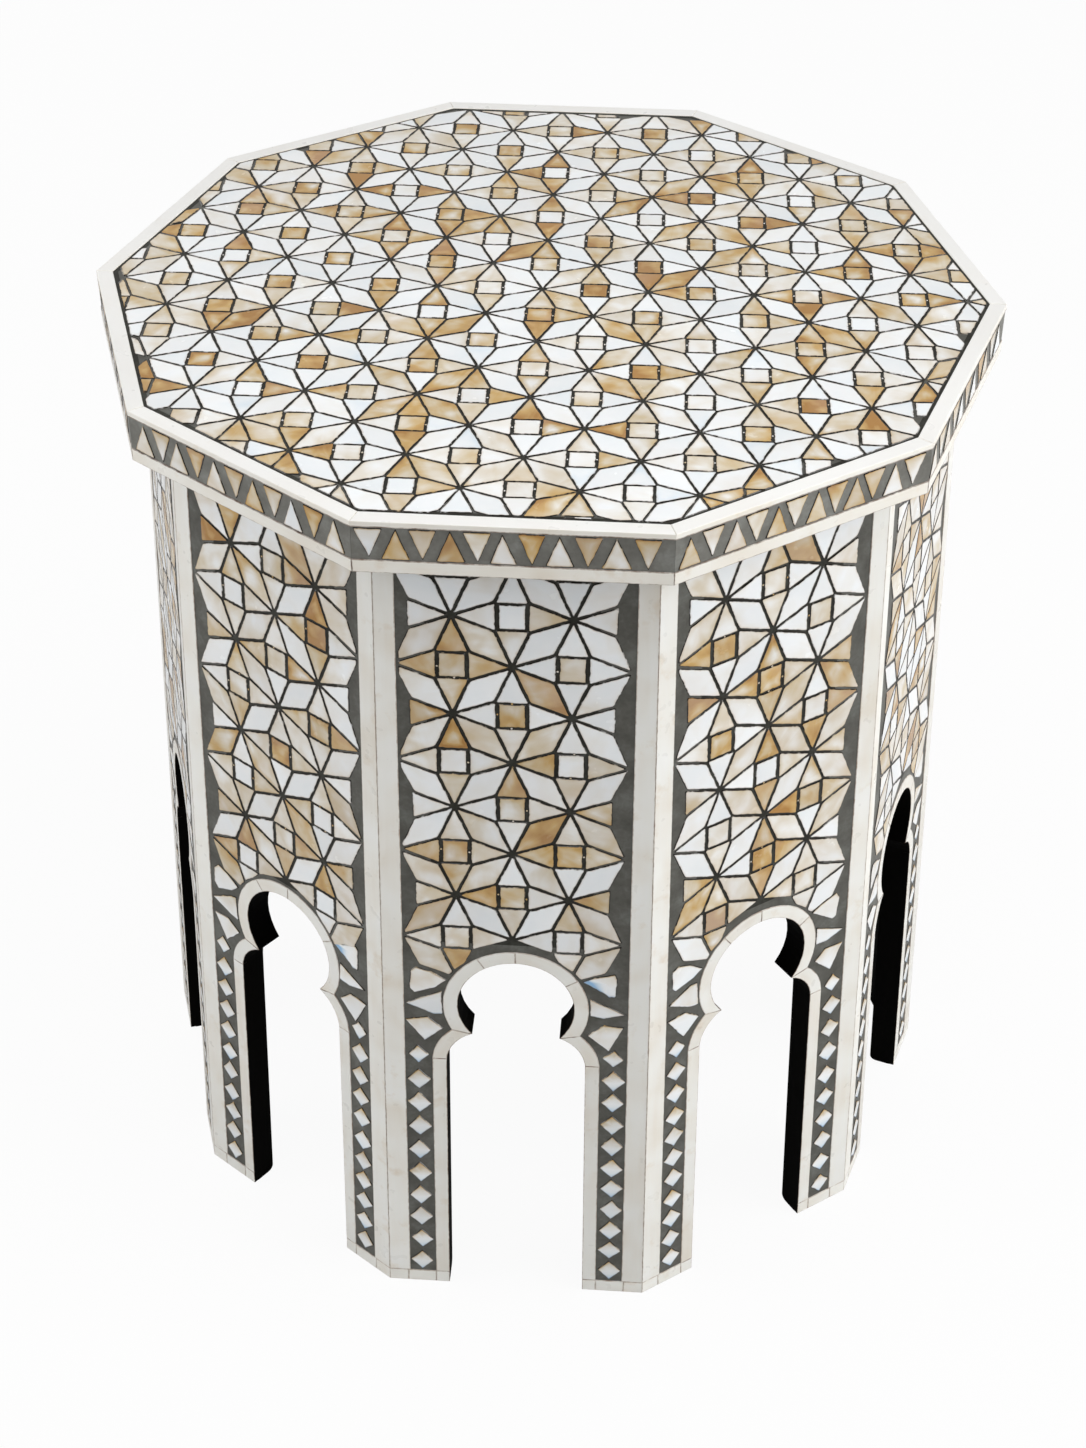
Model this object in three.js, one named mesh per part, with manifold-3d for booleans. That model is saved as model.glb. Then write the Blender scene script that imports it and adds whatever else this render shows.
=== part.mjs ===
// Ten-sided inlaid side table on ten arched, outward-leaning panels.
// Millimetres, +Z up, resting on Z = 0, centred on the vertical axis, one flat side to the front (-Y).
import * as THREE from 'three';
import { mergeVertices } from 'three/addons/utils/BufferGeometryUtils.js';
import Module from 'manifold-3d';

// Whole table
const sides = 10;
const overall_height = 534;
const top_corner_radius = 240;     // centre to a corner of the top
const rim_overhang = 20.5;         // how far the rim stands out over the body's corners
const foot_spread = 21;            // how far the leaning body spreads from the rim to the floor

// Top
const rim_height = 28;
const inlay_thickness = 3;         // bone and mosaic layer on the wood
const border_width = 8.5;
const rim_strip_height = 7;

// Side panels
const board_thickness = 12.7;
const corner_strip_width_head = 10.2;
const corner_strip_width_foot = 12.2;
const foot_strip_height = 9;
const foot_round_radius = 4;       // worn inner edge of the wood at the floor

// Horseshoe arch
const shoulder_height = 179.5;     // where the leg edge turns into the shoulder
const shoulder_rise = 21;          // from there up to the narrow neck
const leg_gap_half_foot = 39;
const leg_gap_half_shoulder = 37.8;
const arch_radius = 31.4;
const neck_share = 0.752;          // the neck's width as a share of the arch's widest
const trim_width = 7.8;

// Making
const glue_gap = 0.3;              // clearance between pieces that meet
const skin_clearance = 0.4;        // the bone and mosaic stop this far above the floor
const cut_overrun = 20;            // how far a cutting body runs past what it cuts
const arch_steps = 26;
const shoulder_steps = 7;
const round_steps = 5;
const tiny = 1e-6;

// Derived
const half_side_angle = Math.PI / sides;
const side_angle = 2 * half_side_angle;
const body_height = overall_height - rim_height;
const head_corner_radius = top_corner_radius - rim_overhang;
const foot_corner_radius = head_corner_radius + foot_spread;
const top_apothem = top_corner_radius * Math.cos(half_side_angle);
const foot_apothem = foot_corner_radius * Math.cos(half_side_angle);
const head_apothem = head_corner_radius * Math.cos(half_side_angle);
const lean = Math.atan2(foot_apothem - head_apothem, body_height);
const slope_length = body_height / Math.cos(lean);
const half_width_foot = foot_corner_radius * Math.sin(half_side_angle);
const half_width_head = head_corner_radius * Math.sin(half_side_angle);
const field_half_foot = half_width_foot - corner_strip_width_foot;
const field_half_head = half_width_head - corner_strip_width_head;
const panel_depth = inlay_thickness + glue_gap + board_thickness;
const half = 0.5;

const wasm = await Module();
wasm.setup();

// Materials
const paint = (name, color, roughness) => {
  const m = new THREE.MeshStandardMaterial({ color, roughness, metalness: 0 });
  m.name = name;
  return m;
};
const black_wood = paint('black_wood', 0x14110f, 0.55);
const bone = paint('bone', 0xe9e4d8, 0.35);
const mosaic = paint('pearl_mosaic', 0xc9bfa9, 0.25);

// Solids
const to_solid = (geometry) => {
  const g = geometry.clone();
  g.deleteAttribute('normal');
  g.deleteAttribute('uv');
  const merged = mergeVertices(g, tiny);
  return new wasm.Manifold(new wasm.Mesh({
    numProp: 3,
    vertProperties: new Float32Array(merged.attributes.position.array),
    triVerts: new Uint32Array(merged.index.array),
  }));
};

const to_geometry = (solid) => {
  const mesh = solid.getMesh();
  const g = new THREE.BufferGeometry();
  const points = new Float32Array(mesh.numVert * 3);
  for (let i = 0; i < mesh.numVert; i++) {
    for (let k = 0; k < 3; k++) points[3 * i + k] = mesh.vertProperties[mesh.numProp * i + k];
  }
  g.setAttribute('position', new THREE.BufferAttribute(points, 3));
  g.setIndex(new THREE.BufferAttribute(new Uint32Array(mesh.triVerts), 1));
  const flat = g.toNonIndexed();
  flat.computeVertexNormals();
  return flat;
};

const group = new THREE.Group();
group.name = 'ten_sided_inlaid_table';
const add = (name, solid, material, turn = 0) => {
  const mesh = new THREE.Mesh(to_geometry(solid.rotate([0, 0, THREE.MathUtils.radToDeg(turn)])), material);
  mesh.name = name;
  group.add(mesh);
};

const shape_of = (points) => new THREE.Shape(points.map(([x, y]) => new THREE.Vector2(x, y)));

const prism = (points, depth) => new THREE.ExtrudeGeometry(
  shape_of(points), { depth, bevelEnabled: false });

// Flat ten-sided plates and rings of the top
const decagon = (apothem) => {
  const r = apothem / Math.cos(half_side_angle);
  return Array.from({ length: sides }, (_, i) => {
    const a = -Math.PI * half + half_side_angle + i * side_angle;
    return [r * Math.cos(a), r * Math.sin(a)];
  });
};

const plate = (apothem, z_low, z_high) => {
  const g = prism(decagon(apothem), z_high - z_low);
  g.translate(0, 0, z_low);
  return to_solid(g);
};

const ring = (inner_apothem, outer_apothem, z_low, z_high) => plate(outer_apothem, z_low, z_high)
  .subtract(plate(inner_apothem, z_low - cut_overrun, z_high + cut_overrun));

const board_top = overall_height - inlay_thickness;
const band_apothem = top_apothem - inlay_thickness;
const field_apothem = top_apothem - border_width;

add('top_board', plate(band_apothem - glue_gap, body_height, board_top - glue_gap), black_wood);
add('top_field', plate(field_apothem - glue_gap, board_top, overall_height), mosaic);
add('top_border', ring(field_apothem, top_apothem, board_top, overall_height), bone);
add('rim_field', ring(band_apothem, top_apothem, body_height + rim_strip_height,
  board_top - glue_gap), mosaic);
add('rim_strip', ring(band_apothem, top_apothem, body_height,
  body_height + rim_strip_height - glue_gap), bone);

// Arch outline on the panel's face, x across and v up the slope, grown outward by a width
const arc = (cx, cy, r, from, to, steps) => Array.from({ length: steps + 1 }, (_, i) => {
  const a = from + (to - from) * i / steps;
  return [cx + r * Math.cos(a), cy + r * Math.sin(a)];
});

const neck_half = arch_radius * neck_share;
const neck_height = shoulder_height + shoulder_rise;
const arch_centre_height = neck_height + Math.sqrt(arch_radius ** 2 - neck_half ** 2);
// the shoulder's circle leaves the leg edge upright and ends at the neck
const shoulder_centre = (leg_gap_half_shoulder ** 2 - neck_half ** 2 - shoulder_rise ** 2)
  / (2 * (leg_gap_half_shoulder - neck_half));
const shoulder_radius = leg_gap_half_shoulder - shoulder_centre;
// the cusp, where the shoulder's circle meets the arch's circle
const cusp = (grow) => {
  const r_arch = arch_radius + grow;
  const r_shoulder = shoulder_radius + grow;
  const dx = -shoulder_centre;
  const dv = arch_centre_height - shoulder_height;
  const d = Math.hypot(dx, dv);
  const along = (r_shoulder ** 2 - r_arch ** 2 + d ** 2) / (2 * d);
  const across = Math.sqrt(r_shoulder ** 2 - along ** 2);
  return [shoulder_centre + (dx * along + dv * across) / d,
    shoulder_height + (dv * along - dx * across) / d];
};

const arch_outline = (grow) => {
  const [cx, cv] = cusp(grow);
  const shoulder_end = Math.atan2(cv - shoulder_height, cx - shoulder_centre);
  const arch_start = Math.atan2(cv - arch_centre_height, cx);
  const low = -cut_overrun;
  const flare = (leg_gap_half_foot - leg_gap_half_shoulder) / shoulder_height;
  const low_half = leg_gap_half_foot - flare * low;
  const right = [
    [low_half + grow, low],
    ...arc(shoulder_centre, shoulder_height, shoulder_radius + grow, 0, shoulder_end, shoulder_steps),
  ];
  const over = arc(0, arch_centre_height, arch_radius + grow, arch_start,
    Math.PI - arch_start, arch_steps).slice(1, -1);
  const left = right.map(([x, v]) => [-x, v]).reverse();
  return [...right, ...over, ...left];
};

// Bodies in a panel's own place, facing +Y before it is turned to its side
// a prism through the panel along its normal, from an outline on the face
const through = (points) => {
  const g = prism(points, panel_depth + 2 * cut_overrun);
  g.translate(0, 0, -panel_depth - cut_overrun);
  // face outline to world: x stays, v goes up the slope, depth goes along the normal
  const across = new THREE.Vector3(-1, 0, 0);
  const up = new THREE.Vector3(0, -Math.sin(lean), Math.cos(lean));
  const out = new THREE.Vector3(0, Math.cos(lean), Math.sin(lean));
  g.applyMatrix4(new THREE.Matrix4().makeBasis(across, up, out).setPosition(0, foot_apothem, 0));
  return to_solid(g);
};

// distance from the axis to a plane lying this deep under the panel's face
const plane_at = (depth, z) => foot_apothem - depth / Math.cos(lean) - z * Math.tan(lean);

// a layer between two depths and two heights, with its inner foot edge rounded or square
const layer = (near, far, round, z_low, z_high) => {
  const inner = round > 0
    ? arc(plane_at(far, z_low) + round, z_low + round, round, -Math.PI * half, -Math.PI, round_steps)
    : [[plane_at(far, z_low), z_low]];
  const profile = [[plane_at(near, z_low), z_low], ...inner, [plane_at(far, z_high), z_high],
    [plane_at(near, z_high), z_high]];
  const wide = 2 * (half_width_foot + cut_overrun);
  const g = prism(profile, wide);
  g.translate(0, 0, -wide * half);
  const along_y = new THREE.Vector3(0, 1, 0);
  const along_z = new THREE.Vector3(0, 0, 1);
  g.applyMatrix4(new THREE.Matrix4().makeBasis(along_y, along_z, new THREE.Vector3(1, 0, 0)));
  return to_solid(g);
};

// the wedge of the plan that belongs to one side, its mitre faces drawn back by half a glue gap
const wedge = () => {
  const apex = glue_gap * half / Math.sin(half_side_angle);
  const reach = foot_apothem + cut_overrun;
  const spread = (reach - apex) * Math.tan(half_side_angle);
  const g = prism([[0, apex], [spread, reach], [-spread, reach]], body_height + 2 * cut_overrun);
  g.translate(0, 0, -cut_overrun);
  return to_solid(g);
};

const head_v = slope_length + cut_overrun;
const foot_v = -cut_overrun;
const edge_flare = (half_width_foot - half_width_head) / slope_length;
const field_flare = (field_half_foot - field_half_head) / slope_length;
const edge_half = (v) => half_width_foot - edge_flare * v + cut_overrun;
const field_half = (v) => field_half_foot - field_flare * v;

const box_outline = (x_low, x_high, v_low, v_high) => [
  [x_low, v_low], [x_high, v_low], [x_high, v_high], [x_low, v_high]];
const wide_half = edge_half(foot_v);

const mitre = wedge();
const layer_top = body_height - glue_gap;
const wood_layer = layer(inlay_thickness + glue_gap, panel_depth, foot_round_radius, 0, layer_top);
const skin_layer = layer(0, inlay_thickness, 0, skin_clearance, layer_top);
const opening = through(arch_outline(0));
const opening_and_trim = through(arch_outline(trim_width));
const opening_trim_gap = through(arch_outline(trim_width + glue_gap));

const whole = through(box_outline(-wide_half, wide_half, foot_v, head_v));
const above_foot_strip = through(
  box_outline(-wide_half, wide_half, foot_strip_height + glue_gap, head_v));
const field_zone = (inset) => through([
  [-field_half(foot_v) + inset, foot_v], [field_half(foot_v) - inset, foot_v],
  [field_half(head_v) - inset, head_v], [-field_half(head_v) + inset, head_v]]);
const right_zone = through([
  [field_half(foot_v), foot_v], [wide_half, foot_v], [wide_half, head_v], [field_half(head_v), head_v]]);
const left_zone = through([
  [-wide_half, foot_v], [-field_half(foot_v), foot_v], [-field_half(head_v), head_v], [-wide_half, head_v]]);

const side_board = whole.intersect(wood_layer).intersect(mitre).subtract(opening);
const skin = whole.intersect(skin_layer).intersect(mitre);
const skin_above = above_foot_strip.intersect(skin_layer).intersect(mitre);
const side_field = skin_above.intersect(field_zone(glue_gap)).subtract(opening_trim_gap);
const corner_strip_right = skin_above.intersect(right_zone);
const corner_strip_left = skin_above.intersect(left_zone);
// the trim runs up one leg, over the arch and down the other, with a foot strip across each leg
const foot_strip_zone = through(box_outline(-wide_half, wide_half, foot_v, foot_strip_height));
const arch_trim = skin.intersect(opening_and_trim.add(foot_strip_zone)).subtract(opening);

// The ten sides, side 01 to the front, counted anticlockwise from above
for (let i = 0; i < sides; i++) {
  const n = String(i + 1).padStart(2, '0');
  const turn = Math.PI + i * side_angle;
  add(`side_board_${n}`, side_board, black_wood, turn);
  add(`side_field_${n}`, side_field, mosaic, turn);
  add(`arch_trim_${n}`, arch_trim, bone, turn);
  add(`corner_strip_${n}_left`, corner_strip_left, bone, turn);
  add(`corner_strip_${n}_right`, corner_strip_right, bone, turn);
}

export default group;
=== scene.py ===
"""Ten-sided inlaid side table: shell mosaic in grey resin between bone strips, on black-painted boards."""
import math
import random

import bpy
from mathutils import Matrix, Vector


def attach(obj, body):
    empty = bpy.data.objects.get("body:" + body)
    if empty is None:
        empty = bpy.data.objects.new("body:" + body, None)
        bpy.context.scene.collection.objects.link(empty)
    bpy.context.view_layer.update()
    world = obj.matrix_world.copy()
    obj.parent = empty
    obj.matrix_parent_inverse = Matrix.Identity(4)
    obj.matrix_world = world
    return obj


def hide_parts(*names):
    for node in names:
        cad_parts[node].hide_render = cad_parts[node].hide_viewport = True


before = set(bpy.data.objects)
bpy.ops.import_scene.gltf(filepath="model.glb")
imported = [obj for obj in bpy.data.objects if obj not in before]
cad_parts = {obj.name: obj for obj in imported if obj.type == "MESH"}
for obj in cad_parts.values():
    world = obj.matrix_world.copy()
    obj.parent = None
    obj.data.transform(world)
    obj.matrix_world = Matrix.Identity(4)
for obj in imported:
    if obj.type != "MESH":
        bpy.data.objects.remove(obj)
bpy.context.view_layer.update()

# The table's own sizes in millimetres, as its solids have them
MM = 0.001
SIDES = 10
HALF_ANGLE = math.pi / SIDES
TABLE_HEIGHT = 534
RIM_HEIGHT = 28
BODY_HEIGHT = TABLE_HEIGHT - RIM_HEIGHT
TOP_RADIUS = 240
HEAD_RADIUS = 219.5
FOOT_RADIUS = 240.5
INLAY = 3
BORDER_WIDTH = 8.5
RIM_STRIP_HEIGHT = 7
CORNER_STRIP_HEAD = 10.2
CORNER_STRIP_FOOT = 12.2
FOOT_STRIP_HEIGHT = 9
SKIN_CLEARANCE = 0.4
GLUE_GAP = 0.3
SHOULDER_HEIGHT = 179.5
SHOULDER_RISE = 21
GAP_HALF_FOOT = 39
GAP_HALF_SHOULDER = 37.8
ARCH_RADIUS = 31.4
NECK_SHARE = 0.752
TRIM_WIDTH = 7.8

TOP_APOTHEM = TOP_RADIUS * math.cos(HALF_ANGLE)
SIDE_LENGTH = 2 * TOP_RADIUS * math.sin(HALF_ANGLE)
HEAD_APOTHEM = HEAD_RADIUS * math.cos(HALF_ANGLE)
FOOT_APOTHEM = FOOT_RADIUS * math.cos(HALF_ANGLE)
LEAN = math.atan2(FOOT_APOTHEM - HEAD_APOTHEM, BODY_HEIGHT)
SLOPE = BODY_HEIGHT / math.cos(LEAN)
HALF_FOOT = FOOT_RADIUS * math.sin(HALF_ANGLE)
HALF_HEAD = HEAD_RADIUS * math.sin(HALF_ANGLE)
NECK_HALF = ARCH_RADIUS * NECK_SHARE
ARCH_CENTRE = SHOULDER_HEIGHT + SHOULDER_RISE + math.sqrt(ARCH_RADIUS ** 2 - NECK_HALF ** 2)
SHOULDER_CENTRE = ((GAP_HALF_SHOULDER ** 2 - NECK_HALF ** 2 - SHOULDER_RISE ** 2)
                   / (2 * (GAP_HALF_SHOULDER - NECK_HALF)))
SHOULDER_RADIUS = GAP_HALF_SHOULDER - SHOULDER_CENTRE

# How the inlay is finished
RESIN_DEPTH = 0.45      # the resin has sunk this far below the shell
PIECE_DEPTH = 2.2       # how deep a shell tile reaches into the resin
JOINT = 0.07            # gap between two lengths of bone
MITRE_GAP = 0.06        # half the gap at a mitre between two sides
DOME_START = 0.55       # no ring of a tile lies further in than this share of its deepest point
MAP_SKIRT = 0.3         # how far a tile's side walls are drawn outside it on the colour map
MAP_MARGIN = 0.03       # the map's corner for the hidden undersides


# Camera, at the place the photograph was taken from
CAMERA_ANGLES = (3.8664, 38.3088, 0.2848)       # azimuth, elevation and roll, in degrees
CAMERA_PLACE = (0.07564, -1.13429, 1.13938)     # in metres
CAMERA_LENS, CAMERA_SENSOR = 59.942, 36


def set_camera():
    azimuth, elevation, roll = (math.radians(a) for a in CAMERA_ANGLES)
    back = Vector((math.sin(azimuth) * math.cos(elevation),
                   -math.cos(azimuth) * math.cos(elevation), math.sin(elevation)))
    right = Vector((0, 0, 1)).cross(back).normalized()
    up = back.cross(right)
    tilted_right = math.cos(roll) * right + math.sin(roll) * up
    tilted_up = -math.sin(roll) * right + math.cos(roll) * up
    placed = Matrix((tilted_right, tilted_up, back)).transposed().to_4x4()
    placed.translation = Vector(CAMERA_PLACE)
    lens = bpy.data.cameras.new("camera")
    lens.sensor_width = CAMERA_SENSOR
    lens.lens = CAMERA_LENS
    camera = bpy.data.objects.new("camera", lens)
    camera.matrix_world = placed
    bpy.context.scene.collection.objects.link(camera)
    bpy.context.scene.camera = camera


set_camera()


# Flat outlines, in millimetres on a face
RAGGED_STEP = 1.5       # distance between the nicks of a broken edge
RAGGED_WOBBLE = 0.07    # how far a broken edge strays to either side
NICK_DEPTH = 0.25       # how deep its odd nicks are
NICK_CHANCE = 0.12


def pairs(ring):
    """Each point with the next one, and the last with the first."""
    return zip(ring, ring[1:] + ring[:1])


def area_of(outline):
    return 0.5 * sum(x0 * y1 - x1 * y0 for (x0, y0), (x1, y1) in pairs(outline))


def middle_of(outline):
    return (sum(p[0] for p in outline) / len(outline), sum(p[1] for p in outline) / len(outline))


def turned_anticlockwise(outline):
    return list(outline) if area_of(outline) > 0 else list(reversed(outline))


def cut_off(outline, nx, ny, reach):
    """What is left of an outline on the near side of the line nx*x + ny*y = reach."""
    kept = []
    for (x0, y0), (x1, y1) in pairs(outline):
        d0, d1 = nx * x0 + ny * y0 - reach, nx * x1 + ny * y1 - reach
        if d0 <= 0:
            kept.append((x0, y0))
        if d0 * d1 < 0:
            t = d0 / (d0 - d1)
            kept.append((x0 + t * (x1 - x0), y0 + t * (y1 - y0)))
    return kept


def edges_of(outline):
    """Each edge's start, end, length and outward normal."""
    for p, q in pairs(outline):
        dx, dy = q[0] - p[0], q[1] - p[1]
        length = math.hypot(dx, dy)
        if length > 1e-9:
            yield p, q, length, dy / length, -dx / length


def shrunk(outline, gap):
    """A convex outline with every edge moved in by gap."""
    left = outline
    for p, q, length, nx, ny in edges_of(outline):
        left = cut_off(left, nx, ny, nx * p[0] + ny * p[1] - gap)
        if len(left) < 3:
            return []
    return left


def deepest_point(outline):
    """The point of a convex outline furthest from its edges, and how far that is."""
    low, high, core = 0.0, math.sqrt(abs(area_of(outline))), outline
    for _ in range(12):
        gap = (low + high) / 2
        left = shrunk(outline, gap)
        if len(left) > 2 and abs(area_of(left)) > 1e-4:
            low, core = gap, left
        else:
            high = gap
    return middle_of(core), low


def without_short_edges(outline, shortest):
    kept = []
    for p in outline:
        if not kept or math.dist(p, kept[-1]) > shortest:
            kept.append(p)
    while len(kept) > 2 and math.dist(kept[0], kept[-1]) <= shortest:
        kept.pop()
    return kept


def hand_cut(outline, dice, wobble, step, corner=0.3, ragged=None):
    """The outline as a hand saw leaves it: corners a little blunt and edges a little off straight.

    ragged tells by an edge's outward direction whether it was broken rather than sawn."""
    cut = []
    for p, q, length, nx, ny in edges_of(outline):
        rough = bool(ragged) and ragged(nx, ny)
        blunt = min(corner, length * 0.2)
        count = max(1, round((length - 2 * blunt) / (RAGGED_STEP if rough else step)))
        most = RAGGED_WOBBLE if rough else wobble
        for i in range(count + 1):
            t = (blunt + (length - 2 * blunt) * i / count) / length
            off = dice.uniform(-most, most) if 0 < i < count else 0.0
            if rough and 0 < i < count and dice.random() < NICK_CHANCE:
                off = -NICK_DEPTH
            cut.append((p[0] + t * (q[0] - p[0]) + off * nx, p[1] + t * (q[1] - p[1]) + off * ny))
    return cut


SHARPEST_MITRE = 0.35   # keeps a very sharp corner from moving too far


def moved_in(outline, gap):
    """Each point moved in along the mitre of its two edges; a negative gap moves it out."""
    normals, moved = [], []
    for p, q in pairs(outline):
        length = math.dist(p, q) or 1.0
        normals.append(((q[1] - p[1]) / length, (p[0] - q[0]) / length))
    for (x, y), (ax, ay), (bx, by) in zip(outline, normals[-1:] + normals, normals):
        share = gap / max(SHARPEST_MITRE, 1 + ax * bx + ay * by)
        moved.append((x - (ax + bx) * share, y - (ay + by) * share))
    return moved


def arc(cx, cy, radius, start, end, steps):
    return [(cx + radius * math.cos(start + (end - start) * i / steps),
             cy + radius * math.sin(start + (end - start) * i / steps)) for i in range(steps + 1)]


# Flat faces of the table: x to the right as seen from outside, v up the face
class Face:
    def __init__(self, origin, across, up):
        self.origin, self.across, self.up = Vector(origin), Vector(across), Vector(up)
        self.out = self.across.cross(self.up)

    def place(self, x, v, depth):
        return (self.origin + self.across * x + self.up * v + self.out * depth) * MM


def facing(side):
    """The outward direction of a side, counted anticlockwise from the front one."""
    angle = -math.pi / 2 + 2 * HALF_ANGLE * (side - 1)
    return Vector((math.cos(angle), math.sin(angle), 0))


def panel_face(side):
    out = facing(side)
    across = Vector((-out.y, out.x, 0))
    return Face(out * FOOT_APOTHEM, across, out * -math.sin(LEAN) + Vector((0, 0, math.cos(LEAN))))


def rim_face(side):
    out = facing(side)
    return Face(out * TOP_APOTHEM + Vector((0, 0, BODY_HEIGHT)), (-out.y, out.x, 0), (0, 0, 1))


TOP_FACE = Face((0, 0, TABLE_HEIGHT), (1, 0, 0), (0, 1, 0))


def panel_half(v):
    return HALF_FOOT - (HALF_FOOT - HALF_HEAD) * v / SLOPE


def field_half(v):
    foot, head = HALF_FOOT - CORNER_STRIP_FOOT, HALF_HEAD - CORNER_STRIP_HEAD
    return foot - (foot - head) * v / SLOPE


def mitre(half_width):
    """Keeps a face's pieces on their own side of the mitres at its two ends."""
    def clamp(x, v, depth):
        most = half_width(v) + (depth * math.tan(HALF_ANGLE) if depth < 0 else 0) - MITRE_GAP
        return max(-most, min(most, x))
    return clamp


MITRE_AT_POSTS, MITRE_AT_RIM = mitre(panel_half), mitre(lambda v: SIDE_LENGTH / 2)


# Inlay: many small closed solids gathered in one mesh
class Inlay:
    """Shell tiles, bone lengths or resin on one or more faces.

    Every point carries its distance from its piece's edge and its place along the piece's own grain, both
    in millimetres, how dull it is, and its warmth: from 0 for white shell to 1 for golden brown, and on
    bone from plain to creamy and scorched. Some of the warmth is painted light: reflections and glare on
    the shell, and warm light from the floor on the side panels and the rim's bone."""

    def __init__(self, name):
        self.name, self.points, self.faces = name, [], []

    def add_face(self, corners, painted=False, hidden=False):
        self.faces.append((corners, painted, hidden))

    def piece(self, face, outline, rings, deep, dice, warm=None, along=None, clamp=None, black=None,
              heart=None, drawn_at=(0.0, 0.0), dull=0.0):
        """One closed solid, whose rings run from the wall to the cap.

        A ring is its distance in from the outline, its depth, and where the shade there isn't that of
        this distance, another. heart is a tile's deepest point and how deep that is: its rings then draw
        in towards that point."""
        outline = turned_anticlockwise(outline)
        count = len(outline)
        turn = dice.uniform(0, math.pi) if along is None else along
        shift = dice.uniform(-500, 500)

        def ring(flat, depth, edge, drawn=None):
            first = len(self.points)
            for (x, v), (map_x, map_v) in zip(flat, drawn or flat):
                held = clamp(x, v, depth) if clamp else x
                grain = (x * math.cos(turn) + v * math.sin(turn) + shift,
                         -x * math.sin(turn) + v * math.cos(turn), shift * 0.37 + depth)
                self.points.append((face.place(held, v, depth), (map_x + drawn_at[0], map_v + drawn_at[1]),
                                    grain, edge, warm(x, v) if warm else 0.0, dull))
            return first

        walls = [ring(outline, -deep, 0, moved_in(outline, -MAP_SKIRT))]
        for inward, depth, *shade in rings:
            edge = shade[0] if shade else inward
            if heart:
                (hx, hv), deepest = heart
                inward = min(inward, DOME_START * deepest)
                share = inward / deepest
                flat = [(x + (hx - x) * share, v + (hv - v) * share) for x, v in outline]
            else:
                flat = moved_in(outline, inward) if inward else outline
            walls.append(ring(flat, depth, edge))
        dark = [bool(black) and black(p, q) for p, q in pairs(outline)]
        for level, (low, high) in enumerate(zip(walls, walls[1:])):
            for i in range(count):
                j = (i + 1) % count
                self.add_face((low + i, low + j, high + j, high + i), dark[i] and level == 0)
        last = walls[-1]
        if heart:
            centre = ring([heart[0]], 0.0, heart[1])
            for i in range(count):
                self.add_face((last + i, last + (i + 1) % count, centre))
        else:
            self.add_face(tuple(range(last, last + count)))
        self.add_face(tuple(reversed(range(walls[0], walls[0] + count))), hidden=True)

    def build(self, materials, slot, *replaced):
        places, drawn, grain, *shades = zip(*self.points)
        corners, painted, hidden = zip(*self.faces)
        mesh = bpy.data.meshes.new(self.name)
        mesh.from_pydata(places, [], corners)
        for m in materials:
            mesh.materials.append(m)
        mesh.polygons.foreach_set("material_index", [int(p) for p in painted])
        for name, values in zip(("edge_mm", "warmth", "dull"), shades):
            mesh.attributes.new(name, "FLOAT", "POINT").data.foreach_set("value", values)
        mesh.attributes.new("grain_mm", "FLOAT_VECTOR", "POINT").data.foreach_set(
            "vector", [c for g in grain for c in g])
        draw_map(mesh, drawn, corners, hidden)
        mesh.validate()
        mesh.update()
        made = bpy.data.objects.new(self.name, mesh)
        bpy.context.scene.collection.objects.link(made)
        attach(made, "root")
        if replaced:
            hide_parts(*replaced)
        return made


def draw_map(mesh, drawn, faces, hidden):
    """A flat colour map: each piece where it lies on its face, hidden undersides small in one corner."""
    xs, vs = zip(*drawn)
    low_x, low_v = min(xs), min(vs)
    wide, high = max(xs) - low_x, max(vs) - low_v
    spots = []
    for corners, under in zip(faces, hidden):
        start, size = (0, 0.9 * MAP_MARGIN) if under else (MAP_MARGIN, 1 - MAP_MARGIN)
        for p in corners:
            spots += [start + (xs[p] - low_x) / wide * size, start + (vs[p] - low_v) / high * size]
    mesh.uv_layers.new(name="OFBake").data.foreach_set("uv", spots)


# Shader trees
def feed(tree, socket, value):
    """Gives a socket a value, or another node's output to read."""
    if isinstance(value, bpy.types.NodeSocket):
        tree.links.new(value, socket)
    else:
        socket.default_value = value


def wire(tree, kind, settings=None, **sockets):
    """A node with its settings and sockets, each socket named in lower case."""
    node = tree.nodes.new(kind)
    for key, value in (settings or {}).items():
        setattr(node, key, value)
    for key, value in sockets.items():
        named = (s for s in node.inputs if s.enabled and s.name.replace(" ", "_").lower() == key)
        feed(tree, next(named), value)
    return node


def arithmetic(operation):
    """A function that reckons with values and other nodes' outputs."""
    def reckon(tree, *values, clamp=False):
        node = wire(tree, "ShaderNodeMath", {"operation": operation, "use_clamp": clamp})
        for socket, value in zip(node.inputs, values):
            feed(tree, socket, value)
        return node.outputs[0]
    return reckon


plus, minus, times = arithmetic("ADD"), arithmetic("SUBTRACT"), arithmetic("MULTIPLY")
divided, larger_of = arithmetic("DIVIDE"), arithmetic("MAXIMUM")


def beyond(tree, value, start, gain):
    """How far a value is past a start, times a gain, held between 0 and 1."""
    return times(tree, minus(tree, value, start), gain, clamp=True)


def seen_by_camera(tree):
    paths = tree.nodes.new("ShaderNodeLightPath").outputs
    return larger_of(tree, paths["Is Camera Ray"], paths["Is Transmission Ray"])


def noise(tree, place, scale, detail=0.6, roughness=0.5, distortion=0.0):
    return wire(tree, "ShaderNodeTexNoise", vector=place, scale=scale, detail=detail, roughness=roughness,
                distortion=distortion).outputs[0]


def stretched(tree, vector, scale):
    node = tree.nodes.new("ShaderNodeVectorMath")
    node.operation = "MULTIPLY"
    feed(tree, node.inputs[0], vector)
    feed(tree, node.inputs[1], scale)
    return node.outputs[0]


def place_in_mm(tree):
    return stretched(tree, wire(tree, "ShaderNodeTexCoord").outputs["Object"], (1 / MM, 1 / MM, 1 / MM))


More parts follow.
